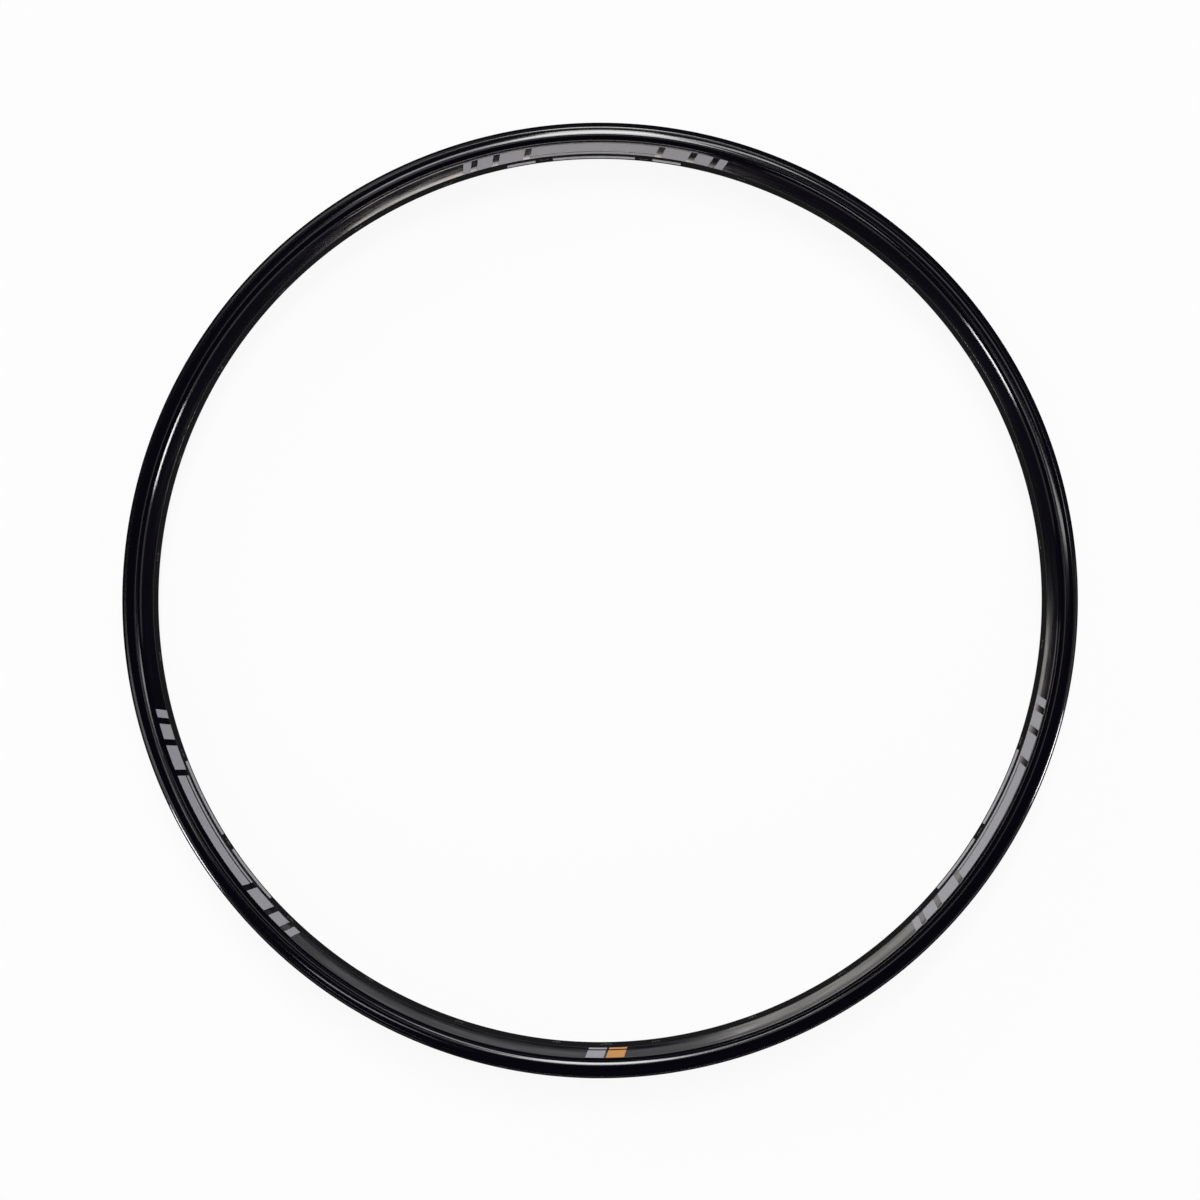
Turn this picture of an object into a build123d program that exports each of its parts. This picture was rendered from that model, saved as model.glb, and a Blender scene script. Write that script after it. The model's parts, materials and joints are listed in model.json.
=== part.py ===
from build123d import *
import math
import os

# A 28-hole tubeless mountain-bike rim, moulded as one hollow hoop, with thin film graphics on one side.
# Millimetres. The wheel's axle is the Z axis, the origin is the wheel's centre, the valve hole is at -Y
# and the side with the graphics faces +Z.

# Tyre side
bead_seat_diameter = 622.0
inner_width = 30.0
flange_height = 5.75
seat_width = 4.2
hump_height = 0.35
hump_width = 0.7
channel_floor_width = 12.6
channel_depth = 3.8

# Flange
lip_thickness = 2.8
lip_outer_round = 2.1
lip_inner_chamfer = 0.5
lip_height = 3.4
bulge_height = 1.2
bulge_upper_length = 4.85
bulge_lower_radius = 5.5
undercut_angle = 48.0
undercut_length = 1.0

# Sidewall and spoke bed
rim_depth = 20.0
sidewall_crown = 0.15
bed_width = 20.8
bed_corner_round = 1.2

# Walls of the hollow section
tyre_bed_wall = 1.5
seat_wall = 2.2
sidewall_wall = 1.5
spoke_bed_wall = 2.5
flange_root_wall = 2.4

# Holes
spoke_count = 28
spoke_hole_diameter = 4.6
access_hole_diameter = 8.6
spoke_hole_offset = 2.0
spoke_lean = 6.0
valve_hole_diameter = 6.6
valve_angle = -90.0

# Film graphics on the sidewall and the spoke bed
film_thickness = 0.15
adhesive_layer = 0.2
decal_upper_margin = 0.2
decal_lower_margin = 0.6
decal_slant = 2.6
decal_gap = 4.4
main_bar_length = 84.0
pinstripe_height = 0.9
pinstripe_gap = 0.7
tail_bar_long = 17.0
tail_bar_middle = 10.5
tail_bar_short = 5.5
bed_stripe_length = 118.0
bed_stripe_width = 8.0
bed_stripe_hole_margin = 3.7
decal_angles = {"decal_top": 90.0, "decal_left": 210.0, "decal_right": 330.0}
badge_block_length = 12.0
badge_gap = 1.6
badge_sides = {"badge_grey": -1, "badge_orange": 1}

# Radii and half widths that follow from the sizes above
seat_radius = bead_seat_diameter / 2
lip_radius = seat_radius + flange_height
floor_radius = seat_radius - channel_depth
bulge_top_radius = lip_radius - lip_height
crown_radius = bulge_top_radius - bulge_upper_length
undercut_slope = math.radians(undercut_angle)
undercut_radius = crown_radius - bulge_lower_radius * math.sin(undercut_slope)
shoulder_radius = undercut_radius - undercut_length
bed_radius = lip_radius - rim_depth
bead_wall_half = inner_width / 2
lip_half = bead_wall_half + lip_thickness
crown_half = lip_half + bulge_height
undercut_half = crown_half - bulge_lower_radius * (1 - math.cos(undercut_slope))
shoulder_half = undercut_half - undercut_length * math.tan(undercut_slope)
bed_half = bed_width / 2
cavity_floor_radius = bed_radius + spoke_bed_wall
cavity_roof_radius = floor_radius - tyre_bed_wall
section_middle_radius = (cavity_floor_radius + cavity_roof_radius) / 2
spoke_pitch = 360.0 / spoke_count
film_upper_radius = shoulder_radius - decal_upper_margin
film_lower_radius = bed_radius + decal_lower_margin
film_middle_radius = (film_upper_radius + film_lower_radius) / 2
overshoot = 10.0
fillet_share = 0.98


def shifted_line(start, end, distance):
    """The line through two points, moved sideways to its left by a distance."""
    run = Vector(end) - Vector(start)
    left = Vector(-run.Y, run.X).normalized() * distance
    return Vector(start) + left, run


def point_at_radius(line, radius):
    """The point of a section line that lies at a radius from the axle."""
    origin, run = line
    return origin + run * ((radius - origin.X) / run.X)


def corner_of(face, point):
    """The corner of a flat face that lies nearest to a point."""
    return face.vertices().sort_by_distance(Vector(point))[0]


# Corners of the half section, as (radius from the axle, distance from the mid-plane)
bed_middle = (bed_radius, 0)
bed_edge = (bed_radius, bed_half)
shoulder = (shoulder_radius, shoulder_half)
undercut_top = (undercut_radius, undercut_half)
crown = (crown_radius, crown_half)
bulge_top = (bulge_top_radius, lip_half)
lip_outer = (lip_radius, lip_half)
lip_inner = (lip_radius, bead_wall_half)
seat_foot = (seat_radius, bead_wall_half)
seat_end = (seat_radius, bead_wall_half - seat_width)
hump = (seat_radius + hump_height, bead_wall_half - seat_width - hump_width)
channel_foot = (floor_radius, channel_floor_width / 2)
channel_middle = (floor_radius, 0)


def sidewall_arc():
    """The convex line of the sidewall in section, from the bed's edge to the shoulder."""
    return SagittaArc(bed_edge, shoulder, sidewall_crown)


def outer_half():
    """Half of the section, filled, on the graphics' side of the mid-plane."""
    tyre_side = Polyline(
        bulge_top,
        lip_outer,
        lip_inner,
        seat_foot,
        seat_end,
        hump,
        channel_foot,
        channel_middle,
        bed_middle,
        bed_edge,
    )
    undercut = Line(shoulder, undercut_top)
    bulge_lower = TangentArc(crown, undercut_top, tangent=(-1, 0))
    bulge_upper = TangentArc(crown, bulge_top, tangent=(1, 0))
    half = make_face([sidewall_arc(), undercut, bulge_lower, bulge_upper, tyre_side])
    half = fillet(corner_of(half, bed_edge), bed_corner_round)
    lip_room = lip_thickness - lip_inner_chamfer
    half = fillet(corner_of(half, lip_outer), min(lip_outer_round, fillet_share * lip_room))
    return chamfer(corner_of(half, lip_inner), lip_inner_chamfer)


def cavity_half():
    """Half of the hollow inside the section."""
    sidewall_inside = shifted_line(shoulder, bed_edge, sidewall_wall)
    channel_inside = shifted_line(hump, channel_foot, -tyre_bed_wall)
    root_radius = seat_radius - seat_wall
    outline = Polyline(
        (cavity_floor_radius, 0),
        point_at_radius(sidewall_inside, cavity_floor_radius),
        point_at_radius(sidewall_inside, crown_radius - flange_root_wall),
        (root_radius, lip_half - flange_root_wall),
        point_at_radius(channel_inside, root_radius),
        point_at_radius(channel_inside, cavity_roof_radius),
        (cavity_roof_radius, 0),
        close=True,
    )
    return make_face(outline)


def both_halves(half):
    """A half section joined with its mirror image across the mid-plane."""
    return half + mirror(half, Plane.XZ)


def hoop(section):
    """A section turned once around the axle."""
    return revolve(Plane.XZ * section, Axis.Z, 360)


def drill(angle, offset, lean, diameter, from_radius, to_radius):
    """A straight drill through the wall, leaning towards the mid-plane as it goes outwards."""
    outwards = Vector(math.cos(math.radians(angle)), math.sin(math.radians(angle)), 0)
    along = outwards - Vector(0, 0, math.copysign(math.tan(math.radians(lean)), offset))
    entry = outwards * bed_radius + Vector(0, 0, offset)
    stretch = along.length
    start = entry + along * (from_radius - bed_radius)
    length = (to_radius - from_radius) * stretch
    shaft = Cylinder(diameter / 2, length, align=(Align.CENTER, Align.CENTER, Align.MIN))
    return Plane(origin=start, z_dir=along) * shaft


def spoke_places():
    """The angle and side offset of each spoke hole, evenly spaced with the valve hole midway between two."""
    places = []
    for number in range(spoke_count):
        offset = spoke_hole_offset if number % 2 == 0 else -spoke_hole_offset
        places.append((valve_angle + (number + 0.5) * spoke_pitch, offset))
    return places


def spoke_drills():
    """Each spoke hole in the spoke bed, with its wider access hole in the tyre bed."""
    drills = []
    inside, outside = bed_radius - overshoot, lip_radius + overshoot
    for angle, offset in spoke_places():
        drills.append(drill(angle, offset, spoke_lean, spoke_hole_diameter, inside, section_middle_radius))
        drills.append(drill(angle, offset, spoke_lean, access_hole_diameter, section_middle_radius, outside))
    return drills


def valve_drill():
    """The valve hole, straight through both walls."""
    inside = bed_radius - overshoot
    return drill(valve_angle, 0.0, 0.0, valve_hole_diameter, inside, lip_radius + overshoot)


def make_rim():
    """The moulded hoop, hollow and drilled."""
    solid_hoop = hoop(both_halves(outer_half()))
    hollow = hoop(both_halves(cavity_half()))
    return solid_hoop - hollow - spoke_drills() - valve_drill()


def sidewall_film(from_radius, to_radius):
    """A hoop of film on its adhesive, on the sidewall with the graphics, between two radii."""
    wall = sidewall_arc()
    underside = wall.radius + adhesive_layer
    ring = Circle(underside + film_thickness) - Circle(underside)
    height = to_radius - from_radius
    middle = (from_radius + height / 2, (bed_half + crown_half) / 2)
    window = Pos(*middle) * Rectangle(height, crown_half - bed_half)
    return hoop((Pos(wall.arc_center.X, wall.arc_center.Y) * ring) & window)


def bed_film():
    """A hoop of film on its adhesive, along the middle of the spoke bed."""
    middle = bed_radius - adhesive_layer - film_thickness / 2
    return hoop(Pos(middle, 0) * Rectangle(film_thickness, bed_stripe_width))


def slanted_sector(angle, start, end, slant):
    """A prism over a stretch of the hoop, with both ends cut aslant. The start and end are arc lengths."""
    inner, outer = film_lower_radius - overshoot, film_upper_radius + overshoot
    lean = slant * (outer - inner) / (film_upper_radius - film_lower_radius) / 2
    corners = []
    for radius, along in ((inner, start + lean), (outer, start - lean), (outer, end - lean), (inner, end + lean)):
        turn = math.radians(angle) + along / film_middle_radius
        corners.append((radius * math.cos(turn), radius * math.sin(turn)))
    outline = make_face(Polyline(*corners, close=True))
    return Pos(0, 0, -crown_half) * extrude(outline, 2 * crown_half, dir=(0, 0, 1))


def two_part_bar(angle, start, end, slant):
    """A bar of film with a pinstripe below it, nearer the spoke bed."""
    sector = slanted_sector(angle, start, end, slant)
    pinstripe_top = film_lower_radius + pinstripe_height
    bar = sidewall_film(pinstripe_top + pinstripe_gap, film_upper_radius) & sector
    pinstripe = sidewall_film(film_lower_radius, pinstripe_top) & sector
    return bar.solids() + pinstripe.solids()


def stripe_stretches(angle):
    """The stretches of a bed stripe, as arc lengths from a decal's middle, which stop short of each spoke hole."""
    half = bed_stripe_length / 2
    keep_off = spoke_hole_diameter / 2 + bed_stripe_hole_margin
    turns = sorted((hole_angle - angle + 180.0) % 360.0 - 180.0 for hole_angle, _ in spoke_places())
    holes = [math.radians(turn) * film_middle_radius for turn in turns]
    starts = [-half] + [place + keep_off for place in holes]
    ends = [place - keep_off for place in holes] + [half]
    stretches = [(max(start, -half), min(end, half)) for start, end in zip(starts, ends)]
    return [(start, end) for start, end in stretches if end - start > bed_stripe_width]


def make_decal(angle):
    """A long two-part bar with shorter bars at both its ends, and a stripe on the spoke bed."""
    pieces = two_part_bar(angle, -main_bar_length / 2, main_bar_length / 2, decal_slant)
    full_film = sidewall_film(film_lower_radius, film_upper_radius)
    edge = main_bar_length / 2
    for length in (tail_bar_long, tail_bar_middle, tail_bar_short):
        near = edge + decal_gap
        far = near + length
        for start, end in ((near, far), (-far, -near)):
            pieces += (full_film & slanted_sector(angle, start, end, decal_slant)).solids()
        edge = far
    for start, end in stripe_stretches(angle):
        pieces += (bed_film() & slanted_sector(angle, start, end, 0.0)).solids()
    return Compound(pieces)


def make_badge(side):
    """One slanted block of the pair beside the valve hole."""
    near = badge_gap / 2
    far = near + badge_block_length
    start, end = (near, far) if side > 0 else (-far, -near)
    return Compound(two_part_bar(valve_angle, start, end, decal_slant))


nodes = {"rim": make_rim()}
for name, angle in decal_angles.items():
    nodes[name] = make_decal(angle)
for name, side in badge_sides.items():
    nodes[name] = make_badge(side)

os.makedirs("parts", exist_ok=True)
for name, shape in nodes.items():
    export_step(shape, f"parts/{name}.step")
    print(name, len(shape.solids()), "solids", round(shape.volume, 1), "mm3")
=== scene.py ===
import json
import logging
import math
from dataclasses import dataclass, field
from enum import Enum

import bmesh
import bpy
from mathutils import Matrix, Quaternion, Vector


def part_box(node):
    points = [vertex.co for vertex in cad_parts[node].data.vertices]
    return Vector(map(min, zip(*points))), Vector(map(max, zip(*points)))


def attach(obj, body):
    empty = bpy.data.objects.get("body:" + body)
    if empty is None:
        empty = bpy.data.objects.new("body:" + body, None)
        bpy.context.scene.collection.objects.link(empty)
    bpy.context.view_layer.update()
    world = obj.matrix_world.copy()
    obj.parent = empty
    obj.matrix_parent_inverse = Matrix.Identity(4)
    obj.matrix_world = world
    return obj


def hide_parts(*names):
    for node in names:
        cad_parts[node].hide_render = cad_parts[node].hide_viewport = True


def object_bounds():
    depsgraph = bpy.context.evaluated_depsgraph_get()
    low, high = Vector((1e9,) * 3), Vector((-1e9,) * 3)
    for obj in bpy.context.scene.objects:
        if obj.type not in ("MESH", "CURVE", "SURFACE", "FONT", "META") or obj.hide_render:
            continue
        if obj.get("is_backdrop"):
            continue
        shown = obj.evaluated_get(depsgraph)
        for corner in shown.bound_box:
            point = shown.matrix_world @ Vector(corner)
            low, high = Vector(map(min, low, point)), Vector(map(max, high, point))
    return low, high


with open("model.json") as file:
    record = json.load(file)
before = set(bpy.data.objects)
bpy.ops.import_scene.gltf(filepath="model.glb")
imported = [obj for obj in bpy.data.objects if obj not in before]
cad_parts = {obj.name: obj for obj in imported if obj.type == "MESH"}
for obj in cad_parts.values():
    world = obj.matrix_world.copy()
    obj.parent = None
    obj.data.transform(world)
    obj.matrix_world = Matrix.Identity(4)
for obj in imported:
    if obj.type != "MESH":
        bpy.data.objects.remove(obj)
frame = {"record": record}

# A moulded laminate bicycle rim, laid flat with its graphics up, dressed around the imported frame.
# The rim and the film are sized in millimetres, which become metres where a mesh is written.
# The studio is sized in metres. Fields that hold angles are in degrees.

CAD_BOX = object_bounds()
METRES_PER_MM = 0.001
SNAP_MM = 1e-6
SHARP_EDGE_DEGREES = 38.0
LOG = logging.getLogger("rim")

# The Mix node's sockets for colours, which share their names with its sockets for other types
MIX_SHARE, MIX_FIRST, MIX_SECOND, MIX_RESULT = 0, 6, 7, 2

Point = tuple[float, float]
Corner = tuple[float, float, float]
Colour = tuple[float, float, float, float]


class Zone(Enum):
    """The stretch of the section that a face belongs to, which decides its finish."""

    FLANGE = 0
    SIDEWALL = 1
    BARE = 2
    TYRE_BED = 3


def linear(hex_colour: str) -> Colour:
    """Turn an sRGB hex colour to the linear values that a shader takes.

    Args:
        hex_colour: six hex digits, with a leading hash sign.

    Returns:
        Linear red, green, blue and an alpha of one.
    """
    channels = [int(hex_colour[start:start + 2], 16) / 255 for start in (1, 3, 5)]
    red, green, blue = [c / 12.92 if c <= 0.04045 else ((c + 0.055) / 1.055) ** 2.4 for c in channels]
    return red, green, blue, 1.0


def add_node(tree: bpy.types.NodeTree, kind: str, settings: dict | None = None,
             links: dict | None = None) -> bpy.types.Node:
    """Add a shader node with its settings, constant inputs and links.

    Args:
        tree: the material's or the world's node tree.
        kind: Blender's name for the node's type, without its prefix.
        settings: attribute or input names with their values.
        links: input names or numbers with the output sockets that feed them.

    Returns:
        The new node.
    """
    node = tree.nodes.new("ShaderNode" + kind)
    for name, value in (settings or {}).items():
        if isinstance(name, str) and hasattr(node, name):
            setattr(node, name, value)
        else:
            node.inputs[name].default_value = value
    for name, socket in (links or {}).items():
        tree.links.new(socket, node.inputs[name])
    return node


def new_material(name: str) -> tuple[bpy.types.Material, bpy.types.NodeTree]:
    """Make an empty material, and give it with its cleared node tree."""
    material = bpy.data.materials.new(name)
    material.use_nodes = True
    material.node_tree.nodes.clear()
    return material, material.node_tree


def mix_colour(tree: bpy.types.NodeTree, share: bpy.types.NodeSocket, first: str,
               second: str) -> bpy.types.NodeSocket:
    """Mix two sRGB hex colours by the second one's share, and give the mixed colour's socket."""
    colours = {"data_type": "RGBA", MIX_FIRST: linear(first), MIX_SECOND: linear(second)}
    return add_node(tree, "Mix", colours, {MIX_SHARE: share}).outputs[MIX_RESULT]


def tangent_arc(start: Point, end: Point, direction: Point, steps: int) -> list[Point]:
    """Points on the arc that leaves a point in a given direction and ends at another.

    Args:
        start: the arc's first point.
        end: the arc's last point.
        direction: unit vector along the arc at its start.
        steps: number of spans.

    Returns:
        The arc's points, both ends included.
    """
    chord = (end[0] - start[0], end[1] - start[1])
    side = (-direction[1], direction[0])
    across = chord[0] * side[0] + chord[1] * side[1]
    radius = (chord[0] ** 2 + chord[1] ** 2) / (2 * across)
    centre = (start[0] + side[0] * radius, start[1] + side[1] * radius)
    first = math.atan2(start[1] - centre[1], start[0] - centre[0])
    last = math.atan2(end[1] - centre[1], end[0] - centre[0])
    sweep = (last - first + math.pi) % (2 * math.pi) - math.pi
    size = abs(radius)
    angles = [first + sweep * step / steps for step in range(steps + 1)]
    return [(centre[0] + size * math.cos(a), centre[1] + size * math.sin(a)) for a in angles]


def between(start: Point, end: Point, share: float) -> Point:
    """The point at a share of the way from one point to another."""
    return start[0] + (end[0] - start[0]) * share, start[1] + (end[1] - start[1]) * share


def trimmed(points: list[Point], length: float) -> list[Point]:
    """A line of points with a length, measured along it, cut off its end."""
    points = list(points)
    while len(points) > 1:
        last, before = points[-1], points[-2]
        span = math.dist(last, before)
        if span > length:
            points[-1] = between(last, before, length / span)
            return points
        length -= span
        points.pop()
    return points


@dataclass(frozen=True)
class Run:
    """One stretch of the half section, with how far the corner at its end is rounded."""

    zone: Zone
    points: list[Point]
    round_end: float = 0.0
    round_steps: int = 3


def eased_corner(before: Point, corner: Point, after: Point, steps: int) -> list[Point]:
    """Points of the curve that eases a corner between two lines, without its two ends."""
    shares = [step / steps for step in range(1, steps)]
    return [between(between(before, corner, s), between(corner, after, s), s) for s in shares]


def joined(runs: list[Run]) -> tuple[list[Point], list[Zone]]:
    """Join the runs of a half section, with each corner between two of them rounded.

    Args:
        runs: the stretches in order, each starting where the last one ends.

    Returns:
        The half section's points, and the zone of the span that follows each point.
    """
    points: list[Point] = []
    zones: list[Zone] = []
    last: Run | None = None
    for run in runs:
        eased = last is not None and last.round_end > 0
        line = list(run.points)
        if eased:
            line = trimmed(line[::-1], last.round_end)[::-1]
        if run.round_end:
            line = trimmed(line, run.round_end)
        if eased:
            curve = eased_corner(points[-1], run.points[0], line[0], last.round_steps)
            points += curve
            zones += [last.zone] * len(curve)
        elif last:
            line = line[1:]
        points += line
        zones += [run.zone] * len(line)
        last = run
    return points, zones


@dataclass(frozen=True)
class RimSection:
    """The moulded section's sizes, and its outline as radius from the axle and height over the mid-plane.

    The supports are shares of a flat's length. Points there keep its shading flat in between.
    """

    seat_radius: float = 311.0
    bead_wall_half: float = 15.0
    flange_height: float = 5.75
    seat_width: float = 4.2
    hump_height: float = 0.35
    hump_width: float = 0.7
    channel_floor_half: float = 6.3
    channel_depth: float = 3.8
    lip_thickness: float = 2.8
    lip_height: float = 3.4
    lip_ease: float = 1.75
    lip_drop: float = 2.2
    lip_lean: float = 3.0
    bevel_angle: float = 38.0
    bevel_length: float = 0.85
    bulge_height: float = 1.2
    bulge_upper_length: float = 4.85
    bulge_lower_radius: float = 5.5
    undercut_angle: float = 48.0
    undercut_length: float = 1.0
    break_angle: float = 34.0
    rim_depth: float = 20.0
    sidewall_crown: float = 0.15
    bed_half: float = 10.4
    tyre_bed_wall: float = 1.5
    seat_wall: float = 2.2
    sidewall_wall: float = 1.5
    spoke_bed_wall: float = 2.5
    flange_root_wall: float = 2.4
    bed_corner_round: float = 0.5
    crease_round: float = 0.2
    lip_foot_round: float = 0.35
    lip_edge_round: float = 0.5
    bead_corner_round: float = 0.8
    seat_round: float = 0.25
    hump_round: float = 0.3
    channel_round: float = 0.4
    fine_round_steps: int = 2
    arc_spans: int = 7
    turn_spans: int = 4
    wall_spans: int = 6
    sidewall_support: float = 0.42
    lip_supports: tuple[float, ...] = (0.0, 0.35, 0.96)
    bevel_supports: tuple[float, ...] = (0.0, 0.08, 0.92, 1.0)
    undercut_supports: tuple[float, ...] = (0.0, 0.53, 0.93, 1.0)
    break_supports: tuple[float, ...] = (0.12, 0.8)
    bed_lines: tuple[float, ...] = (0.0, 2.4, 4.8, 7.2)
    floor_lines: tuple[float, ...] = (0.0, 1.9, 3.8, 5.7)

    @property
    def lip_radius(self) -> float:
        """Radius of the outermost edge."""
        return self.seat_radius + self.flange_height

    @property
    def floor_radius(self) -> float:
        """Radius of the channel's floor on the tyre side."""
        return self.seat_radius - self.channel_depth

    @property
    def crown_radius(self) -> float:
        """Radius of the flange's widest line."""
        return self.lip_radius - self.lip_height - self.bulge_upper_length

    @property
    def undercut_top(self) -> Point:
        """Where the flange's lower arc ends and its short straight undercut starts."""
        slope = math.radians(self.undercut_angle)
        drop = self.bulge_lower_radius * (1 - math.cos(slope))
        return self.crown_radius - self.bulge_lower_radius * math.sin(slope), self.crown_half - drop

    @property
    def shoulder_radius(self) -> float:
        """Radius of the crease between the flange and the sidewall."""
        return self.undercut_top[0] - self.undercut_length

    @property
    def bed_radius(self) -> float:
        """Radius of the spoke bed."""
        return self.lip_radius - self.rim_depth

    @property
    def crown_half(self) -> float:
        """Half of the rim's overall width."""
        return self.bead_wall_half + self.lip_thickness + self.bulge_height

    @property
    def shoulder_half(self) -> float:
        """Height of the crease between the flange and the sidewall."""
        return self.undercut_top[1] - self.undercut_length * math.tan(math.radians(self.undercut_angle))

    @property
    def hollow_floor_radius(self) -> float:
        """Radius of the hollow's face over the spoke bed."""
        return self.bed_radius + self.spoke_bed_wall

    @property
    def hollow_roof_radius(self) -> float:
        """Radius of the hollow's face under the tyre channel."""
        return self.floor_radius - self.tyre_bed_wall

    def sidewall_circle(self) -> tuple[Point, float]:
        """Centre and radius of the circle that the sidewall's convex line lies on."""
        low, high = (self.bed_radius, self.bed_half), (self.shoulder_radius, self.shoulder_half)
        chord = math.dist(low, high)
        radius = (chord / 2) ** 2 / (2 * self.sidewall_crown) + self.sidewall_crown / 2
        along = ((high[0] - low[0]) / chord, (high[1] - low[1]) / chord)
        inwards = (along[1], -along[0])
        sink = radius - self.sidewall_crown
        middle = ((low[0] + high[0]) / 2, (low[1] + high[1]) / 2)
        return (middle[0] + inwards[0] * sink, middle[1] + inwards[1] * sink), radius

    def sidewall_point(self, radius: float, lift: float = 0.0) -> Point:
        """The sidewall's point at a radius, or the one that stands off it along its normal."""
        centre, size = self.sidewall_circle()
        out = (radius - centre[0]) / size
        up = math.sqrt(1 - out ** 2)
        return centre[0] + out * (size + lift), centre[1] + up * (size + lift)

    def lip_corner(self, lip_half: float) -> tuple[list[Point], list[Point]]:
        """The lip's eased outer corner: a narrow bevel, and a steeper turn to the bead wall."""
        start = (self.lip_radius - self.lip_ease, lip_half)
        slope = math.radians(self.bevel_angle)
        run, drop = self.bevel_length * math.cos(slope), self.bevel_length * math.sin(slope)
        end = (start[0] + run, start[1] - drop)
        bevel = [between(start, end, share) for share in self.bevel_supports]
        foot = (self.lip_radius, lip_half - self.lip_drop)
        turn = tangent_arc(foot, end, (0.0, 1.0), self.turn_spans)[::-1]
        return bevel, turn + [(self.lip_radius, self.bead_wall_half)]

    def flange_underside(self, shoulder: Point, crown: Point) -> list[Point]:
        """The flange from the crease to its widest line: undercut, crisp break, short flat and arc."""
        slope = math.radians(self.break_angle)
        steep = math.tan(math.radians(self.undercut_angle))
        arc_end = (crown[0] - self.bulge_lower_radius * math.sin(slope),
                   crown[1] - self.bulge_lower_radius * (1 - math.cos(slope)))
        rise = arc_end[1] - self.undercut_top[1] - steep * (arc_end[0] - self.undercut_top[0])
        back = -rise / (steep - math.tan(slope))
        corner = (arc_end[0] - back, arc_end[1] - back * math.tan(slope))
        undercut = [between(shoulder, corner, share) for share in self.undercut_supports]
        flat = [between(corner, arc_end, share) for share in self.break_supports]
        return undercut + flat + tangent_arc(crown, arc_end, (-1.0, 0.0), self.arc_spans)[::-1]

    def outer_runs(self) -> list[Run]:
        """Runs of the outside's half section, from the spoke bed's middle to the channel's middle."""
        lip_half = self.bead_wall_half + self.lip_thickness
        lean_drop = (self.lip_height - self.lip_ease) * math.tan(math.radians(self.lip_lean))
        bulge_top = (self.lip_radius - self.lip_height, lip_half - lean_drop)
        crown = (self.crown_radius, self.crown_half)
        shoulder = (self.shoulder_radius, self.shoulder_half)
        bed_edge = (self.bed_radius, self.bed_half)
        seat_end = (self.seat_radius, self.bead_wall_half - self.seat_width)
        hump = (self.seat_radius + self.hump_height, seat_end[1] - self.hump_width)
        seat_foot = (self.seat_radius, self.bead_wall_half)
        floor_edge = (self.floor_radius, self.channel_floor_half)
        spans = self.wall_spans
        rise = (self.shoulder_radius - self.bed_radius) / spans
        sidewall = [self.sidewall_point(self.bed_radius + rise * span) for span in range(spans + 1)]
        sidewall.insert(1, self.sidewall_point(self.bed_radius + self.sidewall_support))
        lower = self.flange_underside(shoulder, crown)
        upper = tangent_arc(crown, bulge_top, (1.0, 0.0), self.arc_spans)
        bevel, lip_turn = self.lip_corner(lip_half)
        lip = [between(bulge_top, bevel[0], share) for share in self.lip_supports]
        lip_edge = (self.lip_radius, self.bead_wall_half)
        bed = [(self.bed_radius, line) for line in self.bed_lines] + [bed_edge]
        floor = [floor_edge] + [(self.floor_radius, line) for line in self.floor_lines[::-1]]
        return [
            Run(Zone.BARE, bed, self.bed_corner_round),
            Run(Zone.SIDEWALL, sidewall, self.crease_round, self.fine_round_steps),
            Run(Zone.FLANGE, lower + upper[1:], self.lip_foot_round),
            Run(Zone.FLANGE, lip + bevel),
            Run(Zone.BARE, lip_turn, self.lip_edge_round),
            Run(Zone.TYRE_BED, [lip_edge, seat_foot], self.bead_corner_round),
            Run(Zone.TYRE_BED, [seat_foot, seat_end], self.seat_round, self.fine_round_steps),
            Run(Zone.TYRE_BED, [seat_end, hump], self.hump_round),
            Run(Zone.TYRE_BED, [hump, floor_edge], self.channel_round),
            Run(Zone.TYRE_BED, floor),
        ]

    def hollow_runs(self) -> list[Run]:
        """Runs of the hollow's half section, from over the spoke bed to under the channel."""
        low, high = (self.bed_radius, self.bed_half), (self.shoulder_radius, self.shoulder_half)
        slope = (high[1] - low[1]) / (high[0] - low[0])
        wall_drop = self.sidewall_wall * math.hypot(1.0, slope)
        floor_half = low[1] + (self.hollow_floor_radius - low[0]) * slope - wall_drop
        side_radius = self.crown_radius - self.flange_root_wall
        side_half = low[1] + (side_radius - low[0]) * slope - wall_drop
        lip_half = self.bead_wall_half + self.lip_thickness
        root = (self.seat_radius - self.seat_wall, lip_half - self.flange_root_wall)
        hump_half = self.bead_wall_half - self.seat_width - self.hump_width
        ramp = (hump_half - self.channel_floor_half) / (self.channel_depth + self.hump_height)
        bed_drop = self.tyre_bed_wall * math.hypot(1.0, ramp)
        root_half = self.channel_floor_half + (root[0] - self.floor_radius) * ramp + bed_drop
        roof_half = self.channel_floor_half - self.tyre_bed_wall * ramp + bed_drop
        floor = [(self.hollow_floor_radius, line) for line in self.bed_lines]
        roof = [(self.hollow_roof_radius, line) for line in self.floor_lines[::-1]]
        wall = [(self.hollow_floor_radius, floor_half), (side_radius, side_half), root]
        wall += [(root[0], root_half), (self.hollow_roof_radius, roof_half)]
        return [Run(Zone.TYRE_BED, floor + wall + roof)]


@dataclass(frozen=True)
class Bore:
    """A round hole through one wall of the hoop, from its outside face to the hollow.

    Around it a rectangle of faces is laid anew, as high as the reach and a few segments wide on each side.
    """

    angle: float
    face_radius: float
    hollow_radius: float
    face_height: float
    hollow_height: float
    radius: float
    reach: float
    edge: float = 0.35
    edge_spans: int = 3
    side_segments: int = 3
    blend_share: float = 0.55


@dataclass
class Grid:
    """One closed section turned around the axle, and the faces that holes take out of it."""

    first: int
    loop: list[Point]
    zones: list[Zone]
    cut: set[tuple[int, int]] = field(default_factory=set)


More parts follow.
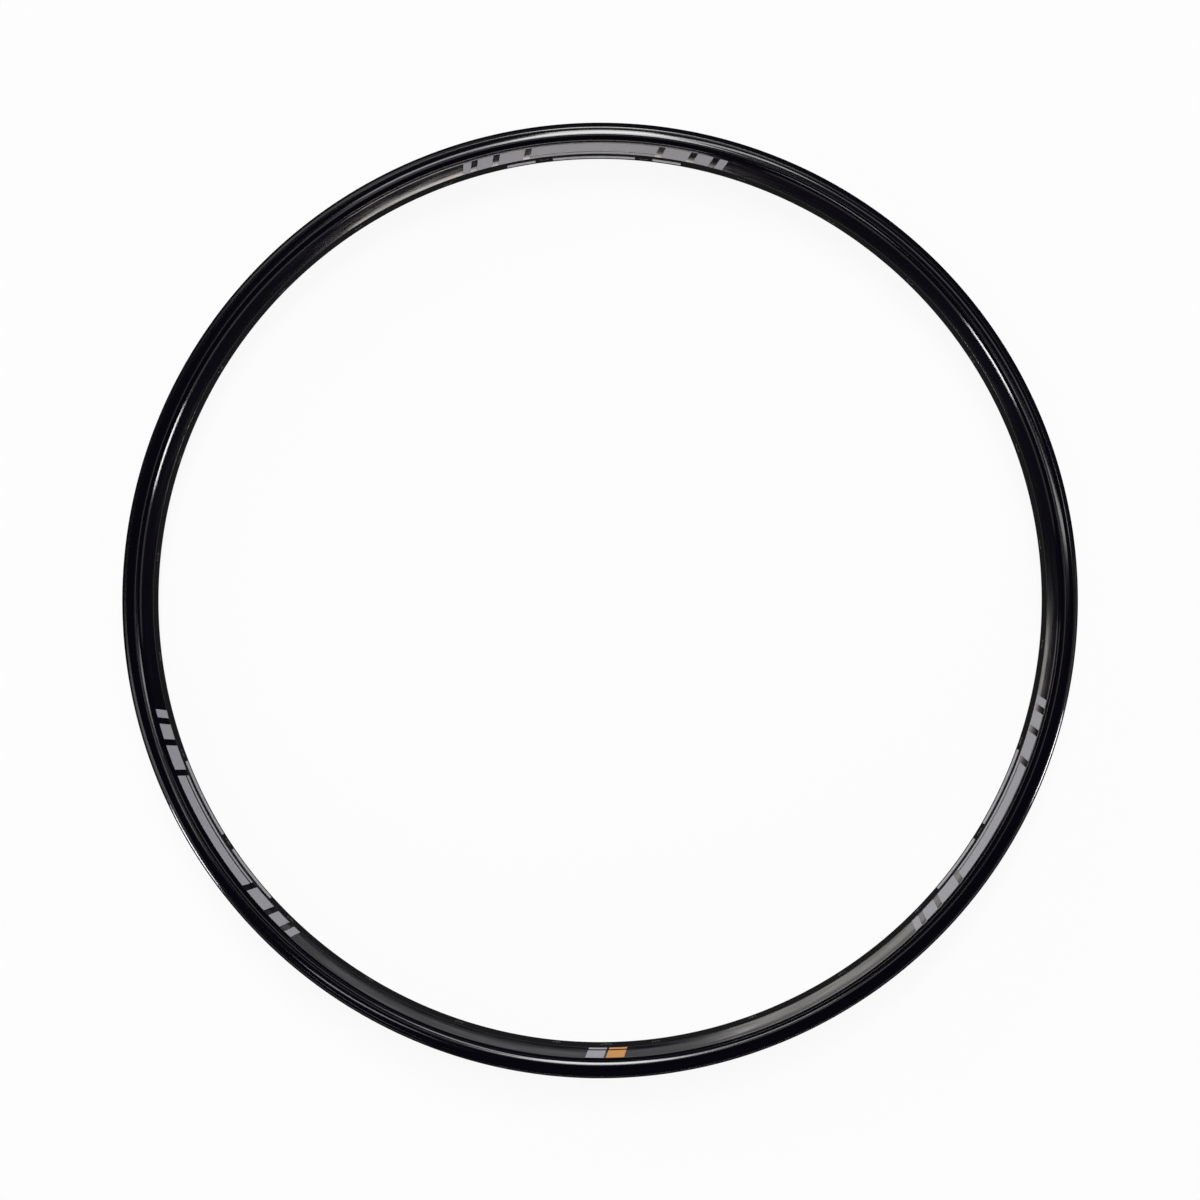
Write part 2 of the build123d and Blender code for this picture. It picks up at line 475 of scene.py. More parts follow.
class HoopMesh:
    """Collects the vertices and faces of a hoop that is turned from a closed section and then bored."""

    def __init__(self, segments: int, pattern_radius: float) -> None:
        """Start an empty hoop.

        Args:
            segments: number of spans around the axle.
            pattern_radius: radius at which the surface pattern has its true length.
        """
        self.segments = segments
        self.pattern_radius = pattern_radius
        self.vertices: list[Corner] = []
        self.pattern: list[Point] = []
        self.faces: list[list[int]] = []
        self.zones: list[Zone] = []
        self.grids: list[Grid] = []

    def add_vertex(self, angle: float, radius: float, height: float, along: float) -> int:
        """Add a point at an angle in radians, with its pattern length, and give its number."""
        self.vertices.append((radius * math.cos(angle), radius * math.sin(angle), height))
        self.pattern.append((angle * self.pattern_radius, along))
        return len(self.vertices) - 1

    def add_face(self, corners: list[int], zone: Zone) -> None:
        """Add one face and the zone it belongs to."""
        self.faces.append(corners)
        self.zones.append(zone)

    def turn(self, runs: list[Run], start_angle: float) -> Grid:
        """Turn a half section and its mirror image around the axle.

        Args:
            runs: the half section's runs, from the mid-plane round to the mid-plane.
            start_angle: angle of the first segment, in radians.

        Returns:
            The grid, for boring through it.
        """
        half, half_zones = joined(runs)
        lengths = [0.0]
        for before, after in zip(half, half[1:]):
            lengths.append(lengths[-1] + math.dist(before, after))
        loop = half + [(radius, -height) for radius, height in half[-2:0:-1]]
        along = lengths + [-length for length in lengths[-2:0:-1]]
        grid = Grid(len(self.vertices), loop, half_zones[1:] + half_zones[:0:-1])
        for segment in range(self.segments):
            angle = start_angle + 2 * math.pi * segment / self.segments
            for (radius, height), length in zip(loop, along):
                self.add_vertex(angle, radius, height, length)
        self.grids.append(grid)
        return grid

    def grid_vertex(self, grid: Grid, segment: int, line: int) -> int:
        """The number of the vertex where a segment and a section line of a grid meet."""
        return grid.first + (segment % self.segments) * len(grid.loop) + line % len(grid.loop)

    def patch(self, grid: Grid, radius: float, reach: float, segment: int, spread: int) -> list[int]:
        """Take a rectangle of faces out of a grid, on one of its round walls.

        Args:
            grid: the grid.
            radius: the wall's radius.
            reach: half of the rectangle's height across the mid-plane.
            segment: the segment at the rectangle's middle.
            spread: half of the rectangle's width, in segments.

        Returns:
            The vertices around the rectangle, in order.
        """
        loop = grid.loop
        on_wall = [n for n, (r, _) in enumerate(loop) if abs(r - radius) < SNAP_MM]
        lines = [n for n in on_wall if abs(loop[n][1]) < reach + SNAP_MM]
        lines.sort(key=lambda n: loop[n][1])
        left, right = segment - spread, segment + spread
        for low, high in zip(lines, lines[1:]):
            span = low if (low + 1) % len(loop) == high else high
            grid.cut.update((s % self.segments, span) for s in range(left, right))
        border = [self.grid_vertex(grid, s, lines[0]) for s in range(left, right)]
        border += [self.grid_vertex(grid, right, n) for n in lines[:-1]]
        border += [self.grid_vertex(grid, s, lines[-1]) for s in range(right, left, -1)]
        return border + [self.grid_vertex(grid, left, n) for n in lines[:0:-1]]

    def ring(self, border: list[int], bore_angle: float, centre: float, radius: float, wall: float,
             depth: float, share: float = 1.0) -> list[int]:
        """Add a ring of vertices around a hole, one for each vertex of a patch's border.

        Args:
            border: the patch's border.
            bore_angle: angle of the hole's middle.
            centre: height of the hole's middle.
            radius: the ring's radius.
            wall: radius of the wall's face.
            depth: how far the ring lies from that face, outwards from the axle.
            share: how far the ring lies from the border towards that radius, from 0 to 1.

        Returns:
            The ring's vertices.
        """
        made = []
        for number in border:
            x, y, height = self.vertices[number]
            turn = (math.atan2(y, x) - bore_angle + math.pi) % (2 * math.pi) - math.pi
            side, rise = turn * wall, height - centre
            size = math.hypot(side, rise)
            scale = 1 - share + share * radius / size
            angle = bore_angle + side * scale / wall
            along = self.pattern[number][1] + rise * (scale - 1)
            made.append(self.add_vertex(angle, wall + depth, centre + rise * scale, along))
        return made

    def bridge(self, rings: list[list[int]], zone: Zone) -> None:
        """Close the faces between each ring of vertices and the next."""
        for near, far in zip(rings, rings[1:]):
            for number in range(len(near)):
                after = (number + 1) % len(near)
                self.add_face([near[number], near[after], far[after], far[number]], zone)

    def bore(self, outside: Grid, hollow: Grid, bore: Bore, start_angle: float, zone: Zone) -> None:
        """Bore a hole with a rounded edge through one wall.

        Args:
            outside: the grid of the hoop's outside.
            hollow: the grid of its hollow.
            bore: the hole.
            start_angle: angle of the first segment, in radians.
            zone: finish of the face around the hole.
        """
        segment = round((bore.angle - start_angle) * self.segments / (2 * math.pi))
        inwards = math.copysign(1.0, bore.hollow_radius - bore.face_radius)
        sides = bore.side_segments
        face_border = self.patch(outside, bore.face_radius, bore.reach, segment, sides)
        hollow_border = self.patch(hollow, bore.hollow_radius, bore.reach, segment, sides)
        face = (bore.angle, bore.face_height)
        rim = bore.radius + bore.edge
        rings = [face_border, self.ring(face_border, *face, rim, bore.face_radius, 0.0, bore.blend_share)]
        for step in range(bore.edge_spans + 1):
            slope = step * math.pi / (2 * bore.edge_spans)
            grow = bore.edge * (1 - math.sin(slope))
            sink = inwards * bore.edge * (1 - math.cos(slope))
            rings.append(self.ring(face_border, *face, bore.radius + grow, bore.face_radius, sink))
        inner = (bore.angle, bore.hollow_height)
        rings.append(self.ring(hollow_border, *inner, bore.radius, bore.hollow_radius, 0.0))
        self.bridge(rings[:3], zone)
        self.bridge(rings[2:] + [hollow_border], Zone.TYRE_BED)

    def as_object(self, name: str) -> bpy.types.Object:
        """Write the hoop as a smooth mesh object with its surface pattern."""
        for grid in self.grids:
            for segment in range(self.segments):
                for line, zone in enumerate(grid.zones):
                    if (segment, line) in grid.cut:
                        continue
                    near = [self.grid_vertex(grid, segment, n) for n in (line + 1, line)]
                    far = [self.grid_vertex(grid, segment + 1, n) for n in (line, line + 1)]
                    self.add_face([near[1]] + far + [near[0]], zone)
        mesh = mesh_from(name, self.vertices, self.faces)
        circumference = 2 * math.pi * self.pattern_radius
        lengths = [length for _, length in self.pattern]
        section_length = max(lengths) - min(lengths)
        layer = mesh.uv_layers.new(name="laminate")
        for face, zone in zip(mesh.polygons, self.zones):
            face.material_index = zone.value
            base = self.pattern[mesh.loops[face.loop_start].vertex_index]
            for loop in face.loop_indices:
                u, v = self.pattern[mesh.loops[loop].vertex_index]
                u += circumference * round((base[0] - u) / circumference)
                v += section_length * round((base[1] - v) / section_length)
                layer.data[loop].uv = (u, v)
        return linked(name, mesh)


def mesh_from(name: str, vertices: list[Corner], faces: list[list[int]]) -> bpy.types.Mesh:
    """Make a mesh from millimetre points, with its faces turned outwards.

    Args:
        name: the mesh's name.
        vertices: the points, in millimetres.
        faces: the corners of each face.

    Returns:
        The mesh, smooth shaded with its sharp edges marked.
    """
    mesh = bpy.data.meshes.new(name)
    mesh.from_pydata([[c * METRES_PER_MM for c in point] for point in vertices], [], faces)
    work = bmesh.new()
    work.from_mesh(mesh)
    bmesh.ops.recalc_face_normals(work, faces=work.faces)
    sharp = math.radians(SHARP_EDGE_DEGREES)
    for face in work.faces:
        face.smooth = True
    for edge in work.edges:
        edge.smooth = len(edge.link_faces) == 2 and edge.calc_face_angle() < sharp
    work.to_mesh(mesh)
    work.free()
    return mesh


def linked(name: str, mesh: bpy.types.Mesh) -> bpy.types.Object:
    """Put a mesh in the scene as an object."""
    thing = bpy.data.objects.new(name, mesh)
    bpy.context.scene.collection.objects.link(thing)
    return thing


@dataclass(frozen=True)
class LacquerFinish:
    """Clear lacquer over black laminate on the flange: polished in the mould, so it mirrors the lamps."""

    name: str = "carbon_laminate_clear_lacquer"
    colour: str = "#040308"
    roughness: float = 0.1
    ripple_mm: float = 2.2
    ripple_height_mm: float = 0.006
    ripple_detail: float = 2.0
    ior: float = 1.52

    def material(self) -> bpy.types.Material:
        """Build the finish, with the faint orange-peel ripple that lacquer dries to."""
        material, tree = new_material(self.name)
        place = add_node(tree, "UVMap", {"uv_map": "laminate"})
        peel = add_node(tree, "TexNoise", {"Scale": 1 / self.ripple_mm, "Detail": self.ripple_detail},
                        {"Vector": place.outputs["UV"]})
        bump = add_node(tree, "Bump", {"Distance": self.ripple_height_mm * METRES_PER_MM},
                        {"Height": peel.outputs["Fac"]})
        shader = add_node(tree, "BsdfPrincipled",
                          {"Base Color": linear(self.colour), "Roughness": self.roughness, "IOR": self.ior},
                          {"Normal": bump.outputs["Normal"]})
        add_node(tree, "OutputMaterial", links={"Surface": shader.outputs["BSDF"]})
        return material


@dataclass(frozen=True)
class LaminateFinish:
    """Moulded unidirectional carbon fibre in epoxy: satin black, with slanting tows that shine."""

    name: str = "carbon_laminate_moulded_satin"
    resin: str = "#040308"
    fibre: str = "#0D0B13"
    roughness: float = 0.16
    resin_dulling: float = 0.05
    fibre_polish: float = 0.08
    tow_width_mm: float = 2.6
    tow_length_mm: float = 42.0
    tow_height_mm: float = 0.01
    tow_levels: Point = (0.42, 0.68)
    tow_detail: float = 4.0
    tow_unevenness: float = 0.6
    ply_angle: float = 38.0
    ior: float = 1.55

    def material(self) -> bpy.types.Material:
        """Build the finish. Real fibres are 0.007 mm, so whole tows of them are drawn instead."""
        material, tree = new_material(self.name)
        place = add_node(tree, "UVMap", {"uv_map": "laminate"})
        turn = add_node(tree, "Mapping",
                        {"Rotation": (0.0, 0.0, math.radians(self.ply_angle)),
                         "Scale": (1 / self.tow_length_mm, 1 / self.tow_width_mm, 1.0)},
                        {"Vector": place.outputs["UV"]})
        tows = add_node(tree, "TexNoise",
                        {"Scale": 1.0, "Detail": self.tow_detail, "Roughness": self.tow_unevenness},
                        {"Vector": turn.outputs["Vector"]})
        spread = add_node(tree, "MapRange",
                          {"From Min": self.tow_levels[0], "From Max": self.tow_levels[1]},
                          {"Value": tows.outputs["Fac"]})
        colour = mix_colour(tree, spread.outputs["Result"], self.resin, self.fibre)
        gloss = add_node(tree, "MapRange",
                         {"To Min": self.roughness + self.resin_dulling,
                          "To Max": self.roughness - self.fibre_polish},
                         {"Value": spread.outputs["Result"]})
        bump = add_node(tree, "Bump", {"Distance": self.tow_height_mm * METRES_PER_MM},
                        {"Height": tows.outputs["Fac"]})
        shader = add_node(tree, "BsdfPrincipled", {"IOR": self.ior},
                          {"Base Color": colour, "Roughness": gloss.outputs["Result"],
                           "Normal": bump.outputs["Normal"]})
        add_node(tree, "OutputMaterial", links={"Surface": shader.outputs["BSDF"]})
        return material


@dataclass(frozen=True)
class DullFinish:
    """Bare laminate in the spoke bed and on the lips' outer walls: dry, so dull even at a grazing view."""

    name: str = "carbon_laminate_bare_dull"
    colour: str = "#08080B"
    roughness: float = 0.9
    sheen_level: float = 0.02

    def material(self) -> bpy.types.Material:
        """Build the finish."""
        material, tree = new_material(self.name)
        shader = add_node(tree, "BsdfPrincipled",
                          {"Base Color": linear(self.colour), "Roughness": self.roughness,
                           "Specular IOR Level": self.sheen_level})
        add_node(tree, "OutputMaterial", links={"Surface": shader.outputs["BSDF"]})
        return material


@dataclass(frozen=True)
class FilmFinish:
    """Cast vinyl film, printed in one colour: satin and even, with a fine grain from the print screen."""

    name: str
    colour: str
    dark_colour: str
    roughness: float = 0.6
    grain_mm: float = 0.8
    grain_height_mm: float = 0.004
    grain_detail: float = 3.0
    ior: float = 1.5

    def material(self) -> bpy.types.Material:
        """Build the finish."""
        material, tree = new_material(self.name)
        place = add_node(tree, "TexCoord")
        grain = add_node(tree, "TexNoise",
                         {"Scale": 1 / (self.grain_mm * METRES_PER_MM), "Detail": self.grain_detail},
                         {"Vector": place.outputs["Object"]})
        colour = mix_colour(tree, grain.outputs["Fac"], self.dark_colour, self.colour)
        bump = add_node(tree, "Bump", {"Distance": self.grain_height_mm * METRES_PER_MM},
                        {"Height": grain.outputs["Fac"]})
        shader = add_node(tree, "BsdfPrincipled", {"Roughness": self.roughness, "IOR": self.ior},
                          {"Base Color": colour, "Normal": bump.outputs["Normal"]})
        add_node(tree, "OutputMaterial", links={"Surface": shader.outputs["BSDF"]})
        return material


@dataclass
class Rim:
    """The moulded hoop with its spoke, access and valve holes."""

    section: RimSection = field(default_factory=RimSection)
    segments_per_spoke: int = 18
    access_radius: float = 4.3
    tyre_bed_roughness: float = 0.45
    valve_mount: str = "valve_hole"
    spoke_mounts: str = "spoke_hole_"

    def mounts(self, prefix: str) -> list[dict]:
        """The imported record's mounts whose names start with a prefix."""
        return [mount for mount in frame["record"]["mounts"] if mount["name"].startswith(prefix)]

    def height_at(self, mount: dict, radius: float) -> float:
        """Height over the mid-plane at which a hole's axis crosses a wall of a given radius."""
        place = Vector(mount["pos_m"]) / METRES_PER_MM
        axis = Vector(mount["axis"])
        return place.z + (radius - place.xy.length) * axis.z / axis.xy.length

    def wall_bore(self, mount: dict, on_bed: bool, radius: float) -> Bore:
        """Lay out a hole through the spoke bed or the tyre bed.

        Args:
            mount: the hole's mount in the record.
            on_bed: true for the spoke bed, false for the tyre bed.
            radius: the hole's radius.

        Returns:
            The bore.
        """
        section = self.section
        walls = (section.bed_radius, section.hollow_floor_radius)
        lines = section.bed_lines
        if not on_bed:
            walls = (section.floor_radius, section.hollow_roof_radius)
            lines = section.floor_lines
        angle = math.atan2(mount["pos_m"][1], mount["pos_m"][0])
        heights = [self.height_at(mount, wall) for wall in walls]
        return Bore(angle, *walls, *heights, radius, lines[-1])

    def build(self) -> bpy.types.Object:
        """Turn the section, bore every hole and write the rim's mesh."""
        valve = self.mounts(self.valve_mount)[0]
        spokes = self.mounts(self.spoke_mounts)
        start = math.atan2(valve["pos_m"][1], valve["pos_m"][0])
        hoop = HoopMesh(self.segments_per_spoke * len(spokes), self.section.shoulder_radius)
        outside = hoop.turn(self.section.outer_runs(), start)
        hollow = hoop.turn(self.section.hollow_runs(), start)
        for mount in spokes:
            bed_bore = self.wall_bore(mount, True, mount["dims"]["r_mm"])
            hoop.bore(outside, hollow, bed_bore, start, Zone.BARE)
            tyre_bore = self.wall_bore(mount, False, self.access_radius)
            hoop.bore(outside, hollow, tyre_bore, start, Zone.TYRE_BED)
        for on_bed, zone in ((True, Zone.BARE), (False, Zone.TYRE_BED)):
            hoop.bore(outside, hollow, self.wall_bore(valve, on_bed, valve["dims"]["r_mm"]), start, zone)
        return hoop.as_object("moulded_rim")

    def dress(self, rim: bpy.types.Object) -> None:
        """Give each zone its finish, and tie the piece to the frame."""
        tyre_bed = LaminateFinish("carbon_laminate_moulded_tyre_bed", roughness=self.tyre_bed_roughness)
        finishes = {
            Zone.FLANGE: LacquerFinish(),
            Zone.SIDEWALL: LaminateFinish(),
            Zone.BARE: DullFinish(),
            Zone.TYRE_BED: tyre_bed,
        }
        for zone in Zone:
            rim.data.materials.append(finishes[zone].material())
        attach(rim, "root")
        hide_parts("rim")


@dataclass
class FilmMesh:
    """Collects the closed thin slabs of one piece of film."""

    vertices: list[Corner] = field(default_factory=list)
    faces: list[list[int]] = field(default_factory=list)

    def slab(self, outer: list[list[Corner]], under: list[list[Corner]]) -> None:
        """Add a closed slab between two faces.

        Args:
            outer: the film's outer face, as rows of points.
            under: the face that lies on the rim, with as many rows and points.
        """
        first, width, height = len(self.vertices), len(outer[0]), len(outer)
        below = width * height
        for row in outer + under:
            self.vertices.extend(row)

        def at(row: int, column: int) -> int:
            """Number of a point on the outer face."""
            return first + row * width + column

        for row in range(height - 1):
            for column in range(width - 1):
                face = [at(row, column), at(row, column + 1), at(row + 1, column + 1), at(row + 1, column)]
                self.faces.append(face)
                self.faces.append([corner + below for corner in face[::-1]])
        border = [at(0, column) for column in range(width - 1)]
        border += [at(row, width - 1) for row in range(height - 1)]
        border += [at(height - 1, column) for column in range(width - 1, 0, -1)]
        border += [at(row, 0) for row in range(height - 1, 0, -1)]
        for number, corner in enumerate(border):
            after = border[(number + 1) % len(border)]
            self.faces.append([after, corner, corner + below, after + below])

    def as_object(self, name: str) -> bpy.types.Object:
        """Write the film as a mesh object in the scene."""
        return linked(name, mesh_from(name, self.vertices, self.faces))


@dataclass
class FilmGraphics:
    """The film bars on the sidewall and the spoke bed, laid out along the hoop from a middle angle.

    Where a method takes ends, they are lengths along the hoop from that angle, which is in radians.
    """

    section: RimSection = field(default_factory=RimSection)
    thickness: float = 0.15
    adhesive: float = 0.2
    upper_margin: float = 0.2
    lower_margin: float = 0.6
    slant: float = 2.6
    gap: float = 4.4
    main_length: float = 84.0
    pinstripe_height: float = 0.9
    pinstripe_gap: float = 0.7
    tail_lengths: tuple[float, ...] = (17.0, 10.5, 5.5)
    bed_length: float = 118.0
    bed_width: float = 8.0
    bed_hole_margin: float = 3.7
    badge_length: float = 12.0
    badge_gap: float = 1.6
    badge_angle: float = -90.0
    decal_angles: tuple[tuple[str, float], ...] = (
        ("decal_top", 90.0),
        ("decal_left", 210.0),
        ("decal_right", 330.0),
    )
    span_mm: float = 2.8
    fewest_spans: int = 2
    rises: int = 5

    @property
    def upper(self) -> float:
        """Radius of the film's edge below the flange."""
        return self.section.shoulder_radius - self.upper_margin

    @property
    def lower(self) -> float:
        """Radius of the film's edge above the spoke bed."""
        return self.section.bed_radius + self.lower_margin

    @property
    def middle(self) -> float:
        """Radius along which the film's lengths are measured."""
        return (self.upper + self.lower) / 2

    @property
    def lifts(self) -> Point:
        """How far the film's outer face and the underside of its adhesive stand off the rim."""
        return self.adhesive + self.thickness, 0.0

    def stops(self, ends: Point) -> list[float]:
        """The lengths along the hoop at which a bar has points."""
        length = ends[1] - ends[0]
        spans = max(self.fewest_spans, round(length / self.span_mm))
        return [ends[0] + length * span / spans for span in range(spans + 1)]

    def row(self, angle: float, stops: list[float], radius: float, height: float) -> list[Corner]:
        """Points at given lengths along the hoop, all at one radius and one height."""
        turns = [angle + stop / self.middle for stop in stops]
        return [(radius * math.cos(turn), radius * math.sin(turn), height) for turn in turns]

    def sidewall_bar(self, film: FilmMesh, angle: float, ends: Point, edges: Point) -> None:
        """Add one bar of film with slanted ends on the sidewall.

        Args:
            film: the film's mesh.
            angle: the graphic's middle angle.
            ends: where the bar starts and ends.
            edges: radii of its lower and upper edge.
        """
        faces = []
        for lift in self.lifts:
            rows = []
            for rise in range(self.rises + 1):
                face_radius = edges[0] + (edges[1] - edges[0]) * rise / self.rises
                lean = self.slant * (self.middle - face_radius) / (self.upper - self.lower)
                stops = [stop + lean for stop in self.stops(ends)]
                rows.append(self.row(angle, stops, *self.section.sidewall_point(face_radius, lift)))
            faces.append(rows)
        film.slab(*faces)

    def bed_bar(self, film: FilmMesh, angle: float, ends: Point) -> None:
        """Add one bar of film along the middle of the spoke bed."""
        stops = self.stops(ends)
        heights = (-self.bed_width / 2, 0.0, self.bed_width / 2)
        radii = [self.section.bed_radius - lift for lift in self.lifts]
        film.slab(*([self.row(angle, stops, radius, height) for height in heights] for radius in radii))

    def two_part_bar(self, film: FilmMesh, angle: float, ends: Point) -> None:
        """Add a bar with a pinstripe below it."""
        split = self.lower + self.pinstripe_height
        self.sidewall_bar(film, angle, ends, (split + self.pinstripe_gap, self.upper))
        self.sidewall_bar(film, angle, ends, (self.lower, split))

    def bed_stretches(self, angle: float, holes: list[dict]) -> list[Point]:
        """The ends of each stretch of the bed's stripe, which stops short of every spoke hole."""
        half = self.bed_length / 2
        turns = [math.atan2(hole["pos_m"][1], hole["pos_m"][0]) - angle for hole in holes]
        places = sorted(((turn + math.pi) % (2 * math.pi) - math.pi) * self.middle for turn in turns)
        keep_off = holes[0]["dims"]["r_mm"] + self.bed_hole_margin
        starts = [-half] + [place + keep_off for place in places]
        ends = [place - keep_off for place in places] + [half]
        stretches = [(max(start, -half), min(end, half)) for start, end in zip(starts, ends)]
        return [(start, end) for start, end in stretches if end - start > self.bed_width]

    def decal(self, node: str, degrees: float, holes: list[dict]) -> bpy.types.Object:
        """Build one of the three long graphics.

        Args:
            node: the frame's node that the piece stands for.
            degrees: the graphic's middle angle.
            holes: the spoke holes' mounts.

        Returns:
            The film's object.
        """
        angle = math.radians(degrees)
        film = FilmMesh()
        edge = self.main_length / 2
        self.two_part_bar(film, angle, (-edge, edge))
        for length in self.tail_lengths:
            near, far = edge + self.gap, edge + self.gap + length
            for ends in ((near, far), (-far, -near)):
                self.sidewall_bar(film, angle, ends, (self.lower, self.upper))
            edge = far
        for ends in self.bed_stretches(angle, holes):
            self.bed_bar(film, angle, ends)
        return film.as_object(f"film_{node}")

    def badge(self, node: str, side: int) -> bpy.types.Object:
        """Build one block of the pair over the valve hole, on its left side (-1) or its right (1)."""
        near, far = self.badge_gap / 2, self.badge_gap / 2 + self.badge_length
        film = FilmMesh()
        self.two_part_bar(film, math.radians(self.badge_angle), (near, far) if side > 0 else (-far, -near))
        return film.as_object(f"film_{node}")

    def dress(self, film: bpy.types.Object, node: str, material: bpy.types.Material, slot: str) -> None:
        """Give a piece of film its finish and tie it to the frame."""
        film.data.materials.append(material)
        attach(film, "root")
        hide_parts(node)


class LampShape(Enum):
    """Outline of a lamp's face, with the share of its width times height that it fills."""

    RECTANGLE = 1.0
    ELLIPSE = math.pi / 4


@dataclass(frozen=True)
class Lamp:
    """A soft box aimed at the wheel's centre, given by the angles it fills there and by its brightness.

    Turn is clockwise from the picture's top, tilt is from straight up, and brightness 1 is white.
    """

    name: str
    turn: float
    tilt: float
    width: float
    height: float
    brightness: float
    colour: str = "#FFFFFF"
    roll: float = 0.0
    distance: float = 4.0
    shape: LampShape = LampShape.RECTANGLE

    def place(self) -> None:
        """Put the lamp in the scene."""
        data = bpy.data.lights.new(self.name, "AREA")
        data.shape = self.shape.name
        data.size = 2 * self.distance * math.tan(math.radians(self.width / 2))
        data.size_y = 2 * self.distance * math.tan(math.radians(self.height / 2))
        data.energy = math.pi * self.shape.value * data.size * data.size_y * self.brightness
        data.color = linear(self.colour)[:3]
        lamp = bpy.data.objects.new(self.name, data)
        turn, tilt = math.radians(self.turn), math.radians(self.tilt)
        away = Vector((math.sin(tilt) * math.sin(turn), math.sin(tilt) * math.cos(turn), math.cos(tilt)))
        lamp.location = away * self.distance
        aim = away.to_track_quat("Z", "Y") @ Quaternion((0.0, 0.0, 1.0), math.radians(self.roll))
        lamp.rotation_euler = aim.to_euler()
        bpy.context.scene.collection.objects.link(lamp)


